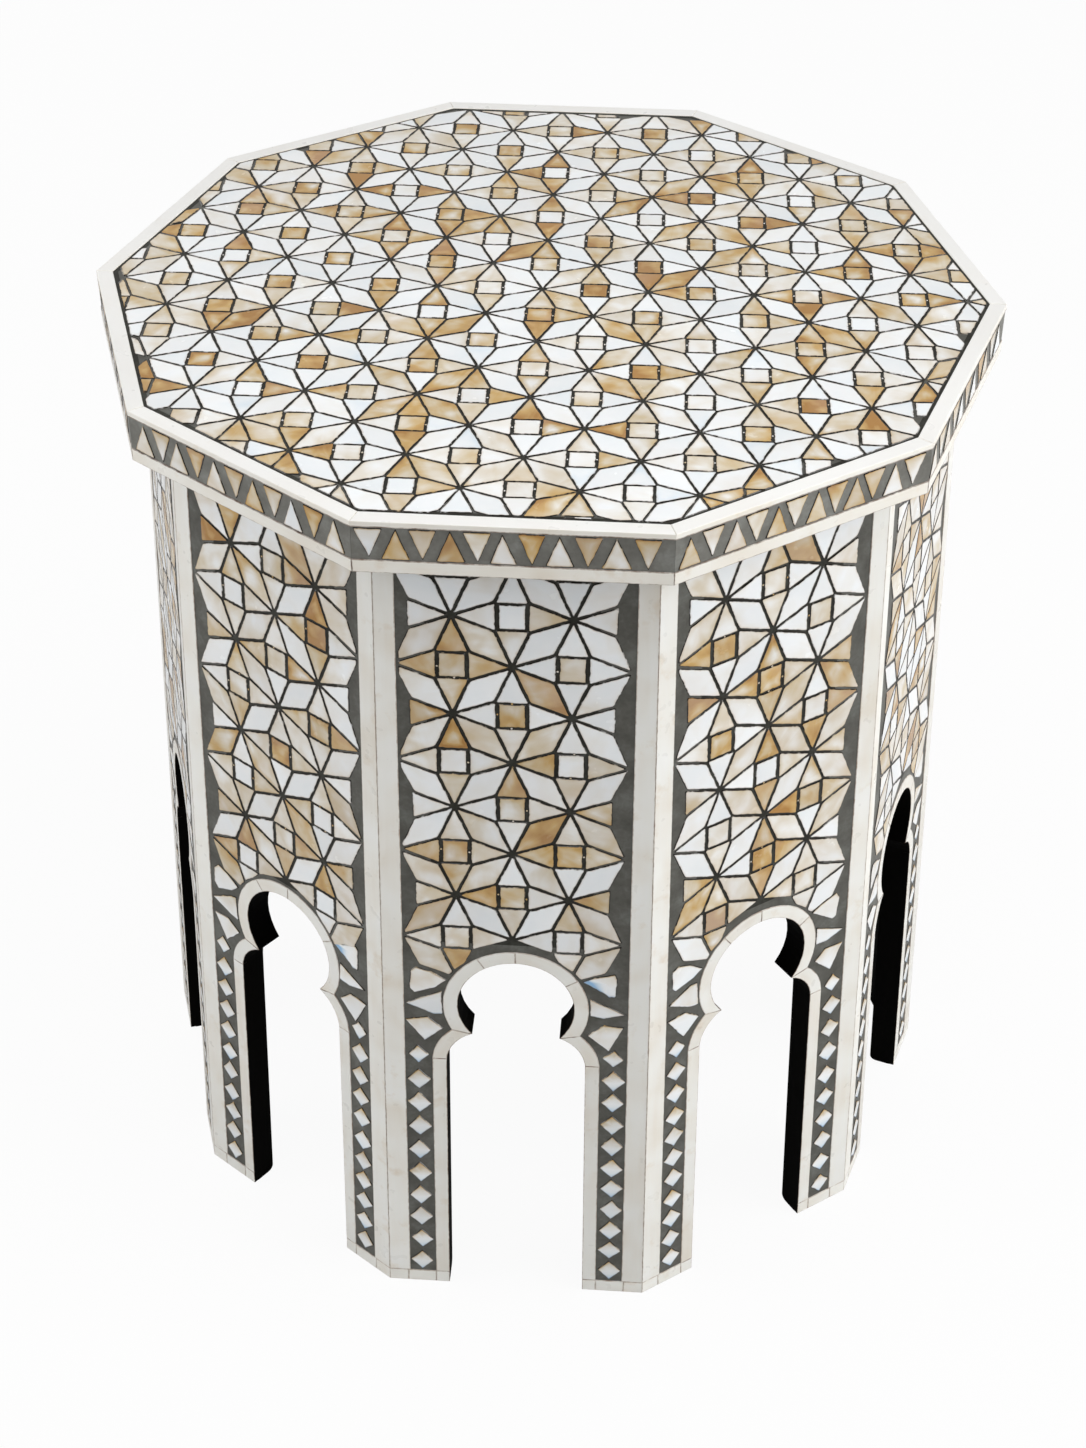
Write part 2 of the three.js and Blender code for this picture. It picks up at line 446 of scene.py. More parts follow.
def blended(tree, share, first, second):
    node = tree.nodes.new("ShaderNodeMix")
    node.data_type = "RGBA"
    for at, value in ((0, share), (6, first), (7, second)):
        feed(tree, node.inputs[at], value)
    return node.outputs[2]


def read(tree, name, output="Fac"):
    node = tree.nodes.new("ShaderNodeAttribute")
    node.attribute_name = name
    return node.outputs[output]


def tone(red, green, blue):
    """A colour given as it looks on a screen, 0 to 255."""
    def linear(c):
        c /= 255
        return c / 12.92 if c <= 0.04045 else ((c + 0.055) / 1.055) ** 2.4
    return (linear(red), linear(green), linear(blue), 1)


def ramp(tree, fac, stops):
    node = tree.nodes.new("ShaderNodeValToRGB")
    band = node.color_ramp
    while len(band.elements) < len(stops):
        band.elements.new(0.5)
    for element, (at, colour) in zip(band.elements, stops):
        element.position, element.color = at, colour
    tree.links.new(fac, node.inputs[0])
    return node.outputs["Color"]


def new_effect(name, outputs, **inputs):
    """A node group; an input is a number, a colour of four, or None or three for a vector."""
    tree = bpy.data.node_groups.new(name, "ShaderNodeTree")
    for key, value in inputs.items():
        kind = "Float" if isinstance(value, float) else "Color" if value and len(value) == 4 else "Vector"
        label = key.replace("_", " ").title()
        socket = tree.interface.new_socket(name=label, in_out="INPUT", socket_type="NodeSocket" + kind)
        if value is not None:
            socket.default_value = value
    for label in outputs:
        kind = "Color" if label == "Colour" else "Float"
        tree.interface.new_socket(name=label, in_out="OUTPUT", socket_type="NodeSocket" + kind)
    return tree, tree.nodes.new("NodeGroupInput").outputs, tree.nodes.new("NodeGroupOutput").inputs


def use(tree, effect, **sockets):
    return wire(tree, "ShaderNodeGroup", {"node_tree": effect}, **sockets).outputs


def clouding_effect():
    """Soft clouds and finer streaks along the grain, both about 0."""
    tree, given, wanted = new_effect("clouding", ("Cloud", "Streak"), place=None, cloud_scale=0.1,
                                     streak_scale=(0.3, 0.06, 0.3))
    cloud = noise(tree, given["Place"], scale=given["Cloud Scale"], detail=1.6, roughness=0.45,
                  distortion=0.35)
    along_grain = stretched(tree, given["Place"], given["Streak Scale"])
    streak = noise(tree, along_grain, scale=1.0, detail=2.0, distortion=0.5)
    tree.links.new(minus(tree, cloud, 0.5), wanted["Cloud"])
    tree.links.new(minus(tree, streak, 0.5), wanted["Streak"])
    return tree


def own_shade_effect():
    """Makes one piece a little duller than the next; pieces differ because each has a place of its own."""
    tree, given, wanted = new_effect("own_shade", ("Colour",), colour=(1, 1, 1, 1), place=None, spread=0.1,
                                     dull=0.0)
    dull = beyond(tree, noise(tree, given["Place"], scale=0.008, detail=0.0), start=0.3, gain=2.5)
    share = plus(tree, times(tree, dull, given["Spread"]), given["Dull"])
    tree.links.new(blended(tree, share, given["Colour"], tone(60, 58, 54)), wanted["Colour"])
    return tree


def edge_stain_effect():
    """A thin uneven stain where a piece meets its neighbour."""
    tree, given, wanted = new_effect("edge_stain", ("Colour",), colour=(1, 1, 1, 1),
                                     stain=tone(120, 88, 50), edge=0.0, reach=0.6, strength=0.6, place=None)
    blot = noise(tree, given["Place"], scale=0.22, detail=3.0, roughness=0.6)
    reach = times(tree, given["Reach"], plus(tree, blot, 0.5))
    near = beyond(tree, 1.0, start=divided(tree, given["Edge"], reach), gain=1.6)
    patchy = beyond(tree, blot, start=0.22, gain=1.9)
    share = times(tree, times(tree, near, patchy), given["Strength"], clamp=True)
    tree.links.new(blended(tree, share, given["Colour"], given["Stain"]), wanted["Colour"])
    return tree


def polish_effect():
    """Hand-polished surface: gloss that varies in patches, and faint unevenness under it."""
    tree, given, wanted = new_effect("hand_polish", ("Roughness", "Height"), place=None, gloss=0.25,
                                     spread=0.12)
    patches, pores = (noise(tree, given["Place"], scale, detail=2.0) for scale in (0.12, 1.1))
    swing = times(tree, minus(tree, patches, 0.5), given["Spread"])
    tree.links.new(plus(tree, given["Gloss"], swing, clamp=True), wanted["Roughness"])
    tree.links.new(plus(tree, times(tree, patches, 0.7), times(tree, pores, 0.3)), wanted["Height"])
    return tree


def facing_up_effect():
    """How far a surface faces up beyond a least amount, times a gain."""
    tree, given, wanted = new_effect("facing_up", ("Share",), normal=None, least=0.0, gain=1.0)
    upward = wire(tree, "ShaderNodeSeparateXYZ", vector=given["Normal"]).outputs["Z"]
    tree.links.new(beyond(tree, upward, given["Least"], given["Gain"]), wanted["Share"])
    return tree


CLOUDING, OWN_SHADE, FACING_UP = clouding_effect(), own_shade_effect(), facing_up_effect()
EDGE_STAIN, POLISH = edge_stain_effect(), polish_effect()


def facing_up(tree, gain, least=0.0):
    normal = tree.nodes.new("ShaderNodeNewGeometry").outputs["Normal"]
    return use(tree, FACING_UP, normal=normal, least=least, gain=gain)["Share"]


def new_finish(name):
    material = bpy.data.materials.new(name)
    material.use_nodes = True
    return material, material.node_tree, material.node_tree.nodes["Principled BSDF"]


def mottled(tree, place, cloud_scale, streak_scale, clouds, streaks):
    """Clouds and streaks along the grain together, about 0."""
    grain = use(tree, CLOUDING, place=place, cloud_scale=cloud_scale, streak_scale=streak_scale)
    return plus(tree, times(tree, grain["Cloud"], clouds), times(tree, grain["Streak"], streaks))


def give(tree, shader, colour, roughness, height, bump_mm):
    tree.links.new(colour, shader.inputs["Base Color"])
    tree.links.new(roughness, shader.inputs["Roughness"])
    bump = wire(tree, "ShaderNodeBump", strength=0.4, distance=bump_mm * MM, height=height)
    tree.links.new(bump.outputs[0], shader.inputs["Normal"])


def give_polished(tree, shader, colour, place, gloss, spread, bump_mm):
    polish = use(tree, POLISH, place=place, gloss=gloss, spread=spread)
    give(tree, shader, colour, polish["Roughness"], polish["Height"], bump_mm)


def pearl_shell_finish():
    """Mother of pearl: a tile clouds softly between its own shade and white, and has a dark sawn edge."""
    material, tree, shader = new_finish("pearl_shell")
    place, edge, warmth = read(tree, "grain_mm", "Vector"), read(tree, "edge_mm"), read(tree, "warmth")
    # warm tiles have a pale middle and vary most, white ones hardly at all: the shell's milky clouding,
    # held to the middle as a painted highlight on the slightly domed tile
    milky_and_highlight = beyond(tree, noise(tree, place, scale=0.075, roughness=0.4), start=0.38, gain=2.4)
    inner = divided(tree, edge, 3.4, clamp=True)
    kept = minus(tree, 1.0, times(tree, times(tree, milky_and_highlight, inner), 0.6))
    lively = plus(tree, 0.2, times(tree, warmth, 0.9, clamp=True))
    clouded = mottled(tree, place, cloud_scale=0.07, streak_scale=(0.17, 0.05, 0.2), clouds=1.4,
                      streaks=0.55)
    warm = plus(tree, times(tree, warmth, kept), times(tree, clouded, lively))
    at = divided(tree, plus(tree, warm, 0.7), 2.1, clamp=True)
    colour = ramp(tree, at, [
        (0.04, tone(140, 184, 222)), (0.16, tone(202, 221, 236)), (0.27, tone(235, 240, 243)),
        (0.35, tone(242, 244, 245)), (0.43, tone(236, 234, 229)), (0.52, tone(222, 213, 197)),
        (0.62, tone(210, 193, 161)), (0.77, tone(198, 162, 98)), (0.96, tone(168, 120, 50))])
    # some warm tiles are pinkish grey, fewer of them on the top
    dusky = beyond(tree, noise(tree, place, scale=0.013, detail=0.0), start=0.46, gain=3.0)
    most = minus(tree, 0.6, facing_up(tree, gain=0.53))
    share = times(tree, times(tree, warmth, dusky, clamp=True), most)
    colour = blended(tree, share, colour, tone(188, 170, 152))
    pink = beyond(tree, noise(tree, place, scale=0.04, roughness=0.4), start=0.58, gain=lively)
    colour = blended(tree, pink, colour, tone(220, 196, 182))
    shaded = use(tree, OWN_SHADE, colour=colour, place=place, spread=0.12)
    soaked = use(tree, EDGE_STAIN, colour=shaded["Colour"], stain=tone(176, 136, 80), edge=edge, reach=1.3,
                 strength=0.4, place=place)
    sawn = use(tree, EDGE_STAIN, colour=soaked["Colour"], stain=tone(32, 27, 21), edge=edge, reach=0.52,
               strength=2.3, place=place)
    give_polished(tree, shader, sawn["Colour"], place, gloss=0.24, spread=0.16, bump_mm=0.06)
    shader.inputs["Coat Weight"].default_value = 0.08
    shader.inputs["Coat Roughness"].default_value = 0.12
    return material


def cream_bone_finish():
    """Polished bone: faint clouds and streaks along the strip, brown lines at the joints."""
    material, tree, shader = new_finish("cream_bone")
    place, edge = read(tree, "grain_mm", "Vector"), read(tree, "edge_mm")
    mottle = mottled(tree, place, cloud_scale=0.035, streak_scale=(0.02, 0.22, 0.2), clouds=1.3,
                     streaks=0.35)
    colour = ramp(tree, plus(tree, 0.5, mottle, clamp=True), [
        (0.1, tone(231, 224, 211)), (0.4, tone(238, 235, 227)), (0.6, tone(241, 240, 234)),
        (0.9, tone(243, 243, 240))])
    blotch = beyond(tree, noise(tree, place, scale=0.05, detail=4.0, roughness=0.6), start=0.6, gain=3.0)
    colour = blended(tree, blotch, colour, tone(212, 190, 158))
    # warmth makes the bone creamier; on the rim's bone this is painted warm light from the floor
    colour = blended(tree, times(tree, read(tree, "warmth"), 0.3, clamp=True), colour,
                     tone(222, 202, 170))
    # painted light: faces that turn up are painted whiter and cooler, as lit from above
    colour = blended(tree, facing_up(tree, gain=1.8, least=0.6), colour, tone(240, 240, 239))
    shaded = use(tree, OWN_SHADE, colour=colour, place=place, spread=0.06, dull=read(tree, "dull"))
    stained = use(tree, EDGE_STAIN, colour=shaded["Colour"], stain=tone(132, 94, 62), edge=edge, reach=0.55,
                  strength=0.85, place=place)
    # the saw has scorched the edge of the opening most
    scorched = use(tree, EDGE_STAIN, colour=stained["Colour"], stain=tone(70, 44, 26), edge=edge, reach=0.6,
                   strength=times(tree, read(tree, "warmth"), 1.7), place=place)
    give_polished(tree, shader, scorched["Colour"], place, gloss=0.3, spread=0.14, bump_mm=0.05)
    return material


def grey_resin_finish(name, paler, shine=0.35):
    """Dark grey resin, cloudy and a little dull; paler lifts it, as on the rim, and below zero darkens it,
    as in the narrow joints and the painted shadow along the top's border. shine is how strongly it mirrors."""
    material, tree, shader = new_finish(name)
    place = place_in_mm(tree)
    mottle = mottled(tree, place, cloud_scale=0.07, streak_scale=(0.4, 0.4, 0.4), clouds=1.2,
                     streaks=0.6)
    shades = ((0.15, (64, 63, 57)), (0.5, (78, 77, 71)), (0.85, (96, 97, 92)))
    colour = ramp(tree, plus(tree, 0.5, mottle, clamp=True),
                  [(at, tone(*(c + paler for c in shade))) for at, shade in shades])
    give_polished(tree, shader, colour, place, gloss=0.45, spread=0.15, bump_mm=0.06)
    shader.inputs["Specular IOR Level"].default_value = shine
    return material


def black_paint_finish():
    """Brushed matt black paint."""
    material, tree, shader = new_finish("black_paint")
    strokes = stretched(tree, place_in_mm(tree), (0.5, 0.5, 0.03))
    brushed = noise(tree, strokes, scale=1.0, detail=3.0, roughness=0.6)
    colour = ramp(tree, brushed, [
        (0.3, tone(2, 2, 1)), (0.6, tone(5, 4, 3)), (0.8, tone(12, 10, 8))])
    roughness = plus(tree, 0.6, times(tree, brushed, 0.2))
    give(tree, shader, colour, roughness, height=brushed, bump_mm=0.08)
    shader.inputs["Specular IOR Level"].default_value = 0.03
    return material


PEARL, BONE, BLACK = pearl_shell_finish(), cream_bone_finish(), black_paint_finish()
RESIN = grey_resin_finish("grey_resin", paler=4)
RIM_RESIN = grey_resin_finish("rim_resin", paler=32)
# darker resin for the narrow joints, and for the painted shadow along the top's border
JOINT_RESIN = grey_resin_finish("joint_resin", paler=-34, shine=0.15)


# The star mosaic: squares with four pointed triangles, and a slanted tile between them
STAR_SHARE = 0.288      # how far a slanted tile's blunt corner lies from its square's middle, in grid steps
TOP_SHARES = {          # how many tiles of each kind are white, pale cream, light tan, tan, golden
    "slant": (0.62, 0.22, 0.08, 0.05, 0.03),
    "point": (0.41, 0.19, 0.16, 0.14, 0.10),
    "square": (0.10, 0.24, 0.24, 0.28, 0.14)}
PANEL_SHARES = {
    "slant": (0.36, 0.39, 0.17, 0.08, 0.0),
    "point": (0.40, 0.29, 0.18, 0.11, 0.02),
    "square": (0.28, 0.42, 0.14, 0.11, 0.05)}
RIM_SHARES = (0.20, 0.44, 0.26, 0.10, 0.0)
SHELL_WARMTH = (0.0, 0.3, 0.62, 0.92, 1.25)
SHORTEST_EDGE = 0.7     # shorter ones are left out of a trimmed tile
TILE_RINGS = ((0, -RESIN_DEPTH), (0.25, -0.04), (1.2, 0.0))
BONE_RINGS = ((0, -0.2), (0.2, -0.02), (0.85, 0.0))
EDGE_BONE_RINGS = ((0, 0.3 - INLAY, 0.0), (0, 0.7 - INLAY, 0.8), (0, -0.4, 1.0), (0.12, -0.12, 1.0),
                   (0.4, 0.0, 1.0))
RESIN_RINGS = ((0, -RESIN_DEPTH - 0.05), (0.2, -RESIN_DEPTH))
JOINT_RINGS = ((0, 0.03 - RESIN_DEPTH),)


def star_tiles(low, high, square, apart):
    """Tile outlines in grid steps between two corners; star points lie where the two counts add up even.

    square is how far the middles of the joints round a square lie from its own middle, and apart how much
    further than half the grout it and its points draw back from them, both first sideways, then upward."""
    s, slope = STAR_SHARE, STAR_SHARE / (1 - STAR_SHARE)
    wide, high_up = square[0] - apart[0], square[1] - apart[1]
    for i in range(low[0], high[0] + 1):
        for j in range(low[1], high[1] + 1):
            if (i + j) % 2:
                yield "square", (i, j), [(i - wide, j - high_up), (i + wide, j - high_up),
                                         (i + wide, j + high_up), (i - wide, j + high_up)]
                for dx, dy in ((1, 0), (0, 1), (-1, 0), (0, -1)):
                    base = square[0] + apart[0] if dx else square[1] + apart[1]
                    half = (1 - base) * slope
                    yield "point", (i + dx / 2, j + dy / 2), [
                        (i + base * dx + half * dy, j + base * dy - half * dx), (i + dx, j + dy),
                        (i + base * dx - half * dy, j + base * dy + half * dx)]
                yield "slant", (i + 0.5, j + 0.5), [
                    (i + 1, j), (i + 1 - s, j + 1 - s), (i, j + 1), (i + s, j + s)]
            else:
                yield "slant", (i + 0.5, j + 0.5), [
                    (i, j), (i + 1 - s, j + s), (i + 1, j + 1), (i + s, j + 1 - s)]


def tile_warmth(dice, shares, outline, warmer):
    """Warmth over a tile: one shade by how common each is, drifting from one side to the other."""
    base = dice.choices(SHELL_WARMTH, shares)[0] + dice.uniform(-0.1, 0.1) + warmer
    drift, turn = dice.uniform(0, 0.03) * (0.25 + abs(base)), dice.uniform(0, 2 * math.pi)
    cx, cv = middle_of(outline)
    return lambda x, v: base + drift * ((x - cx) * math.cos(turn) + (v - cv) * math.sin(turn))


EDGE_REFLECTION_REACH = 1.1          # how far in from its edges a small tile carries the painted reflection along them


def painted_reflection_warmth(outline, base, tilt, edge_reflection, all_round=0.0):
    """Warmth of a tile that turns from golden at its top to bluish at its foot, most along its edges: a
    painted reflection, warm light caught on its upper part and bluish light on its lower.

    tilt is what the top adds to base and the foot takes off, glow the same for an upper and a lower edge,
    and all_round what every edge adds."""
    sides = list(edges_of(outline))
    low, high = min(v for x, v in outline), max(v for x, v in outline)

    def warm(x, v):
        inside, rise = min((nx * (p[0] - x) + nv * (p[1] - v), nv) for p, q, length, nx, nv in sides)
        near = max(0.0, 1 - inside / EDGE_REFLECTION_REACH)
        # painted reflection: golden towards the top, bluish towards the foot, strongest along the upper and
        # lower edges
        return base + tilt * (2 * v - high - low) / (high - low) + (edge_reflection * rise + all_round) * near

    return warm


def lay_tile(inlay, face, kind, outline, grout, dice, shares, ragged, clips, least, warmer):
    """Shrinks a tile by half the grout, trims it to its field, cuts it by hand and lays it.

    What the trimming leaves of a tile is kept when it is more than a share of the whole and an area."""
    whole = shrunk(turned_anticlockwise(outline), grout / 2)
    left = whole
    for nx, ny, reach in clips:
        left = cut_off(left, nx, ny, reach) if len(left) > 2 else left
    left = without_short_edges(left, SHORTEST_EDGE)
    if len(left) < 3 or abs(area_of(left)) < max(least[0] * abs(area_of(whole)), least[1]):
        return
    shaken = [(x + dice.uniform(-0.1, 0.1), v + dice.uniform(-0.1, 0.1)) for x, v in left]
    cut = hand_cut(shaken, dice, wobble=0.12, step=3.2, corner=0.35 if kind == "square" else 0.6,
                   ragged=ragged if kind != "slant" else None)
    inlay.piece(face, cut, TILE_RINGS, PIECE_DEPTH, dice, warm=tile_warmth(dice, shares[kind], cut, warmer),
                heart=deepest_point(shaken))


CHIP = 0.62             # half a chip's width
CHIP_ANGLES = (0.5, 1.7, 2.9, 4.0, 5.3)
CHIP_RINGS = ((0, -0.12, 0.4), (0.12, -0.03, 1.0))


def lay_chip(tiles, face, x, v, dice, palest):
    """A tiny chip of shell left in a joint, where a tile was snapped off its strip."""
    outline, tint = [], palest + dice.uniform(0, 0.7)
    for a in CHIP_ANGLES:
        wide, high = CHIP * dice.uniform(0.7, 1.1), CHIP * dice.uniform(0.7, 1.1)
        outline.append((x + wide * math.cos(a), v + high * math.sin(a)))
    tiles.piece(face, outline, CHIP_RINGS, PIECE_DEPTH, dice, warm=lambda x, v: tint)


# The top
def decagon(apothem):
    radius = apothem / math.cos(HALF_ANGLE)
    return [(radius * math.cos(-math.pi / 2 + HALF_ANGLE + 2 * HALF_ANGLE * i),
             radius * math.sin(-math.pi / 2 + HALF_ANGLE + 2 * HALF_ANGLE * i)) for i in range(SIDES)]


TOP_STEP = 27.72                    # from a square to the star beside it
TOP_REACH = 9                       # how many such steps the grid goes out from its middle
TOP_GROUT = 0.68
TOP_SQUARE = (0.25, 0.243)          # from a square's middle to the joints beside it and above it
TOP_APART = (0.13, -0.04)           # what those joints gain on either side, in millimetres
TOP_JOINTS_MARGIN = 11              # the resin of the joints is paler this near the border
TOP_TURN = math.radians(0.95)
RIM_WARM_BOUNCE_AND_SCORCH = 0.4                     # how much creamier the rim's bone is painted, on the warmth scale: painted warm light from the floor on its walls, which also deepens the scorch at its edges
TOP_GLARE_DRIFT = 0.15           # painted glare: what the small tiles gain in warmth at the back and lose in front, where they are painted paler as under glare
TOP_GAP = 1.3                       # resin between the tiles and the border
TOP_GAP_AT_BACK = 2.7               # and at the back one, side 6
TOP_SHIFT = (-2.3, -2.3)
TOP_LEAST = {                       # the least share of a trimmed tile that is kept, and its least area
    "square": (0.1, 9.0), "point": (0.2, 10.0), "slant": (0.08, 14.0)}
TOP_CHIP_CHANCE = 0.85
TOP_CHIP_PALEST = -0.1


def make_top():
    dice = random.Random(41)
    field = TOP_APOTHEM - BORDER_WIDTH
    gaps = {side: TOP_GAP_AT_BACK if side == SIDES // 2 + 1 else TOP_GAP for side in range(1, SIDES + 1)}
    clips = [(*facing(side).xy, field - gap) for side, gap in gaps.items()]
    tiles = Inlay("top_mosaic")

    def on_top(x, y):
        return ((x * math.cos(TOP_TURN) - y * math.sin(TOP_TURN)) * TOP_STEP + TOP_SHIFT[0],
                (x * math.sin(TOP_TURN) + y * math.cos(TOP_TURN)) * TOP_STEP + TOP_SHIFT[1])

    apart = [gain / TOP_STEP for gain in TOP_APART]
    for kind, (i, j), corners in star_tiles((-TOP_REACH,) * 2, (TOP_REACH,) * 2, TOP_SQUARE, apart):
        # painted glare: points and squares paler in front, more golden at the back
        warmer = 0 if kind == "slant" else TOP_GLARE_DRIFT * on_top(i, j)[1] / field
        lay_tile(tiles, TOP_FACE, kind, [on_top(x, y) for x, y in corners], TOP_GROUT, dice, TOP_SHARES,
                 lambda nx, ny: abs(nx) > 0.95, clips, TOP_LEAST[kind], warmer)
        if kind == "square" and math.hypot(*on_top(i, j)) < field - 1.5 * TOP_STEP / 2:
            for beside in (-TOP_SQUARE[0], TOP_SQUARE[0]):
                if dice.random() < TOP_CHIP_CHANCE:
                    x, y = on_top(i + beside, j + dice.uniform(-0.05, 0.07))
                    lay_chip(tiles, TOP_FACE, x, y, dice, TOP_CHIP_PALEST)
    tiles.build([PEARL], "pearl_mosaic", "top_field")

    bed = Inlay("top_resin")
    bed.piece(TOP_FACE, decagon(field - 0.1), RESIN_RINGS, INLAY, dice)
    bed.build([RESIN], "pearl_mosaic")
    joints = Inlay("top_joints")
    joints.piece(TOP_FACE, decagon(field - TOP_JOINTS_MARGIN), JOINT_RINGS, PIECE_DEPTH, dice)
    # painted shadow: dark resin along the border too, on its inner edge where the resin lies sunk below it
    outer, inner = decagon(field - 0.05), decagon(field - TOP_GAP_AT_BACK)
    edge_dice = random.Random(43)
    for n in range(SIDES):
        joints.piece(TOP_FACE, [outer[n - 1], outer[n], inner[n], inner[n - 1]], JOINT_RINGS, PIECE_DEPTH,
                     edge_dice)
    joints.build([JOINT_RESIN], "pearl_mosaic")

    border = Inlay("top_bone_border")
    inner, outer = decagon(field), decagon(TOP_APOTHEM)
    for n in range(SIDES):
        (ax, ay), (bx, by) = outer[n - 1], outer[n]
        outline = shrunk([outer[n - 1], outer[n], inner[n], inner[n - 1]], JOINT / 2)
        border.piece(TOP_FACE, outline, EDGE_BONE_RINGS, INLAY, dice, along=math.atan2(by - ay, bx - ax),
                     warm=lambda x, y: RIM_WARM_BOUNCE_AND_SCORCH)
    border.build([BONE], "bone", "top_border")


make_top()


# The rim: a row of up and down points over a bone strip
RIM_ROWS = {     # where the points stand along a side, in millimetres from its left end
    1: ((20.5, 46, 70, 96, 122), (8, 33, 58, 83, 109, 136)),
    2: ((8.5, 34, 57.5, 80.5, 103, 126), (21, 45.5, 68, 91.5, 113.5, 138)),
    10: ((10, 34, 59.5, 85.5, 111, 138), (23, 47, 73, 99, 125))}


RIM_FIRST, RIM_PITCH, RIM_LAST = 9, 12.7, 141
RIM_GAP = 0.15                                     # between the band and the bone above and below it
RIM_TIP_GAP = 0.4                                  # between a point's foot and the band's edge
RIM_HALF_WIDTH, RIM_TALL = (6.4, 7.1), (16.2, 17.3)   # least and most of a point
RIM_BONE_RINGS = ((0, -0.25), (0.22, -0.02), (0.85, 0.0))


def rim_row(side, dice):
    if side in RIM_ROWS:
        return RIM_ROWS[side]
    first, pitch = RIM_FIRST + dice.uniform(-1.5, 1.5), RIM_PITCH + dice.uniform(-0.15, 0.25)
    spots = [first + pitch * i + dice.uniform(-0.8, 0.8) for i in range(12)
             if first + pitch * i < RIM_LAST]
    return (spots[0::2], spots[1::2]) if dice.random() < 0.5 else (spots[1::2], spots[0::2])


def make_rim():
    dice = random.Random(17)
    low, high = RIM_STRIP_HEIGHT + RIM_GAP, RIM_HEIGHT - INLAY - RIM_GAP
    tiles, bed, strips = Inlay("rim_mosaic"), Inlay("rim_resin"), Inlay("rim_bone")
    for side in range(1, SIDES + 1):
        face, beside = rim_face(side), (side * (SIDE_LENGTH + 4), 0.0)
        for points, foot, way in zip(rim_row(side, dice), (low + RIM_TIP_GAP, high - RIM_TIP_GAP), (1, -1)):
            for at in points:
                x = at - SIDE_LENGTH / 2
                half, tip = dice.uniform(*RIM_HALF_WIDTH), dice.uniform(*RIM_TALL)
                outline = turned_anticlockwise([(x - half, foot), (x + half, foot),
                                                (x + dice.uniform(-0.4, 0.4), foot + way * tip)])
                cut = hand_cut(outline, dice, wobble=0.16, step=3.5, corner=0.5)
                base = dice.choices(SHELL_WARMTH, RIM_SHARES)[0] + dice.uniform(-0.08, 0.08)
                # painted reflection: downward points turn golden towards their tops, upward ones far less
                tilt = dice.uniform(0.15, 0.45) if way < 0 else dice.uniform(-0.2, 0.1)
                tiles.piece(face, cut, TILE_RINGS, PIECE_DEPTH, dice,
                            warm=painted_reflection_warmth(outline, base, tilt, edge_reflection=0.15, all_round=0.35),
                            heart=deepest_point(outline), clamp=MITRE_AT_RIM, drawn_at=beside)
        half = SIDE_LENGTH / 2
        bed.piece(face, [(-half, low), (half, low), (half, high), (-half, high)], RESIN_RINGS, INLAY, dice,
                  along=0, clamp=MITRE_AT_RIM, drawn_at=beside)
        strips.piece(face, [(-half, 0), (half, 0), (half, RIM_STRIP_HEIGHT), (-half, RIM_STRIP_HEIGHT)],
                     RIM_BONE_RINGS, INLAY, dice, along=0, clamp=MITRE_AT_RIM, drawn_at=beside,
                     warm=lambda x, v: RIM_WARM_BOUNCE_AND_SCORCH)
    tiles.build([PEARL], "pearl_mosaic", "rim_field")
    bed.build([RIM_RESIN], "pearl_mosaic")
    strips.build([BONE], "bone", "rim_strip")


make_rim()


# One side panel
PANEL_STEP_X, PANEL_STEP_V = 29.2, 28.88
PANEL_ROW = 269.1        # height of the lowest row of squares, on the slope
PANEL_GROUT = 1.04
PANEL_SQUARE = (0.2495, 0.2555)  # from a square's middle to the joints beside it and above it
PANEL_APART = (0.24, -0.08)      # what those joints gain on either side, in millimetres
PANEL_JOINTS_HALF = 42           # beyond this the resin between the tiles is as pale as beside them
PANEL_LEAST = (0.3, 12.0)        # the least share of a trimmed tile that is kept, and its least area
PANEL_WARM_BOUNCE = 0.07              # how much warmer its tiles are painted than the shell's plain shades: painted warm light from the floor
PANEL_CHIP_CHANCE = 0.45
PANEL_CHIP_PALEST = 0.3
ARC_STEP = math.radians(4)
PANEL_SHIFT = {1: (-1.7, 0.0), 2: (-0.7, 0.0), 10: (0.8, -3.0)}

# the odd tiles beside the arch, as cut for its left and its right
ARCH_TILES_LEFT = (
    ((-56, 243.6), (-53.4, 245.9), (-46.1, 243.6), (-37.9, 238.2), (-43, 233.9), (-54.5, 229.4),
     (-56.8, 232.1)),
    ((-58.3, 220.6), (-45.3, 228.5), (-40.2, 229.4), (-39.6, 213.7), (-44.5, 214.4)),
    ((-58.8, 209), (-47.9, 210.9), (-39.2, 204.1), (-49.4, 194)))
ARCH_TILES_RIGHT = (
    ((36, 241.6), (41.4, 245.1), (52.1, 248.6), (53.3, 245.9), (52.9, 232.4), (49.8, 231.6), (47.5, 233.9)),
    ((40.1, 229.4), (58.2, 220.2), (47.5, 217.5), (39.8, 217.8)),
    ((39.4, 204.1), (46.7, 210.9), (58.2, 210.3), (50.6, 193.4)))


def cusp(grow):
    """Where the shoulder's curve meets the arch's, both moved out by a width."""
    r_arch, r_shoulder = ARCH_RADIUS + grow, SHOULDER_RADIUS + grow
    dx, dv = -SHOULDER_CENTRE, ARCH_CENTRE - SHOULDER_HEIGHT
    d = math.hypot(dx, dv)
    along = (r_shoulder ** 2 - r_arch ** 2 + d ** 2) / (2 * d)
    across = math.sqrt(r_shoulder ** 2 - along ** 2)
    return (SHOULDER_CENTRE + (dx * along + dv * across) / d,
            SHOULDER_HEIGHT + (dv * along - dx * across) / d)


def gap_half(v):
    return GAP_HALF_FOOT - (GAP_HALF_FOOT - GAP_HALF_SHOULDER) * v / SHOULDER_HEIGHT


